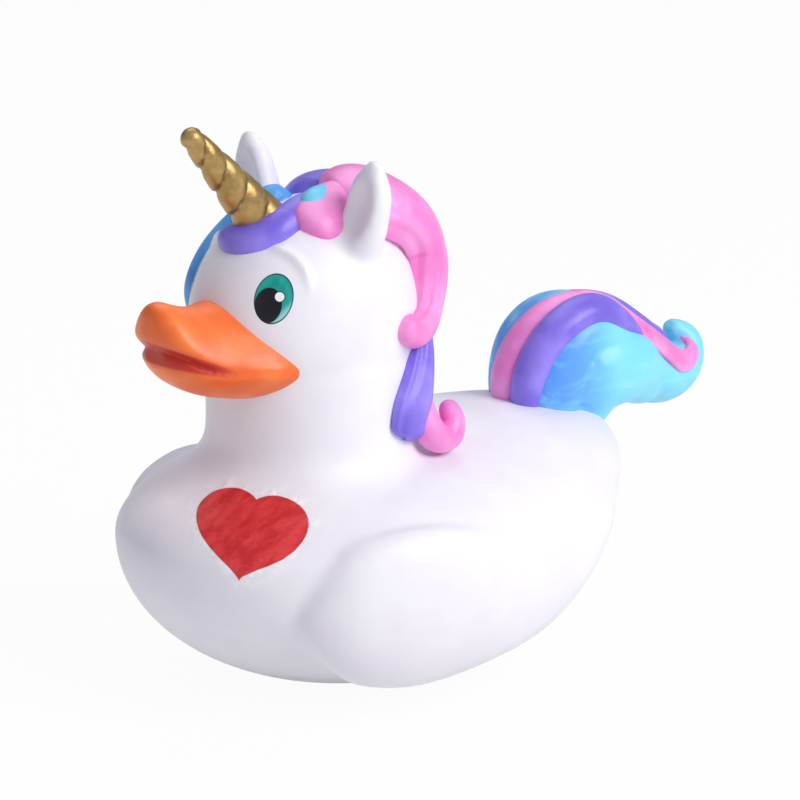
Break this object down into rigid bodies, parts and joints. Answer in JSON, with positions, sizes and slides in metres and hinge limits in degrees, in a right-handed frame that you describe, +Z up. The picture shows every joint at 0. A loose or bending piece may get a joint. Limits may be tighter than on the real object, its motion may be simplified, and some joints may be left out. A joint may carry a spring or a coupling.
{
  "type": "rubber duck",
  "caption": "White moulded rubber duck with a gold unicorn horn, ears, a striped mane and tail, an orange bill and a red heart on its breast.",
  "frame": {"origin": "on the flat base, under the middle of the body", "axes": "+Z up from the base, -Y the way the duck looks, +X to the duck's left"},
  "size_m": [0.0662, 0.1078, 0.086],
  "materials": {
    "rubber": "satin white, with hand-painted bill, horn, mane, tail, eyes and heart"
  },
  "bodies": {
    "root": {"duck": "rubber"}
  },
  "joints": []
}
